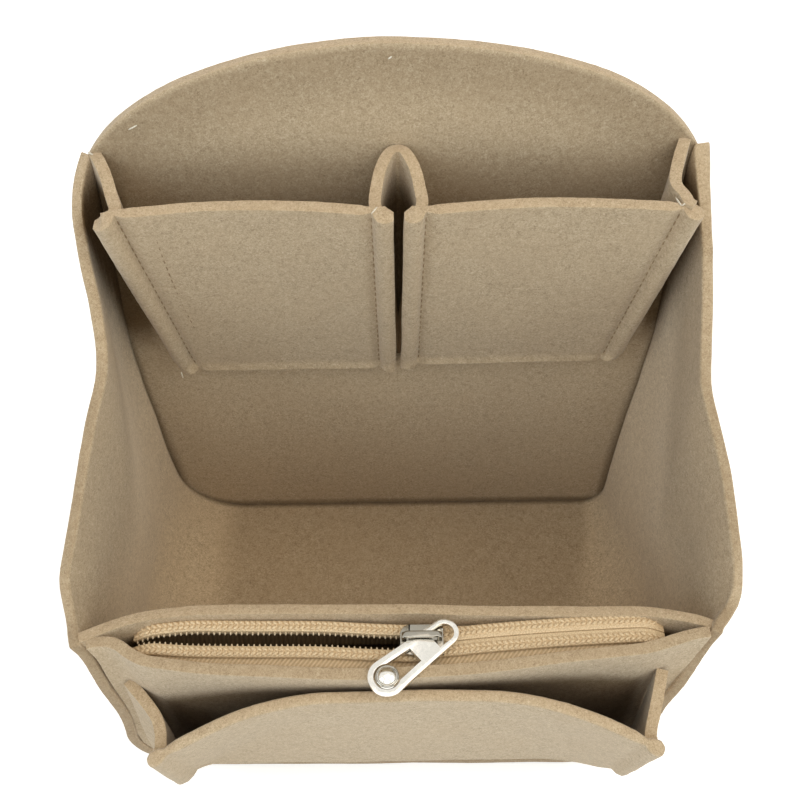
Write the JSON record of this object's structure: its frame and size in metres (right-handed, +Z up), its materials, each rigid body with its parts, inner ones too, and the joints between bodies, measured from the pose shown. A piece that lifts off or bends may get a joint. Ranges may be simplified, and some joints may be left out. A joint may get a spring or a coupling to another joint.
{
  "type": "purse organizer insert",
  "caption": "Free-standing felt insert that divides a small bag: domed back wall, curved side and base strip, open compartment, rear pockets, zip pocket and a front pocket.",
  "frame": {"origin": "on the ground under the middle of the whole insert's box", "axes": "+X to the right seen from the front, +Y to the tall back wall, +Z up"},
  "size_m": [0.1745, 0.1216, 0.1874],
  "materials": {
    "felt": "matte fuzzy felt",
    "zipper_tape": "matte woven tape",
    "zipper_coil": "satin nylon",
    "nickel": "polished nickel plate"
  },
  "bodies": {
    "body": {"back_panel": "felt", "side_base_strip": "felt", "front_inner_panel": "felt", "front_outer_panel": "felt", "rear_gusset_left": "felt", "rear_gusset_right": "felt", "rear_gusset_center": "felt", "front_gusset_left": "felt", "front_gusset_right": "felt", "zipper_tape_rear": "zipper_tape", "zipper_tape_front": "zipper_tape", "zipper_coil_rear": "zipper_coil", "zipper_coil_front": "zipper_coil"},
    "rear_pocket_left": {"rear_pocket_panel_left": "felt"},
    "rear_pocket_right": {"rear_pocket_panel_right": "felt"},
    "front_pocket": {"front_pocket_panel": "felt"},
    "slider": {"zipper_slider": "nickel"},
    "pull": {"pull_tab": "nickel", "pull_stud": "nickel"}
  },
  "joints": [
    {"name": "zipper_slide", "type": "slide", "parent": "body", "child": "slider", "axis": [1, 0, 0], "range_m": [-0.062, 0.05], "deforming": ["zipper_tape_rear", "zipper_tape_front", "zipper_coil_rear", "zipper_coil_front"]},
    {"name": "pull_swing", "type": "hinge", "parent": "slider", "child": "pull", "pos_m": [0.0102, -0.03715, 0.0788], "axis": [0, 0, 1], "range_deg": [0, 95]},
    {"name": "rear_pocket_left_open", "type": "hinge", "parent": "body", "child": "rear_pocket_left", "pos_m": [-0.036, 0.05605, 0.08], "axis": [1, 0, 0], "range_deg": [-10, 5], "stiffness_Nm_per_rad": 0.06, "deforming": ["rear_gusset_left", "rear_gusset_center"]},
    {"name": "rear_pocket_right_open", "type": "hinge", "parent": "body", "child": "rear_pocket_right", "pos_m": [0.036, 0.05605, 0.08], "axis": [1, 0, 0], "range_deg": [-10, 5], "stiffness_Nm_per_rad": 0.06, "deforming": ["rear_gusset_right", "rear_gusset_center"]},
    {"name": "front_pocket_open", "type": "hinge", "parent": "body", "child": "front_pocket", "pos_m": [0, -0.04195, 0.001], "axis": [1, 0, 0], "range_deg": [0, 8], "stiffness_Nm_per_rad": 0.06, "deforming": ["front_gusset_left", "front_gusset_right"]}
  ]
}
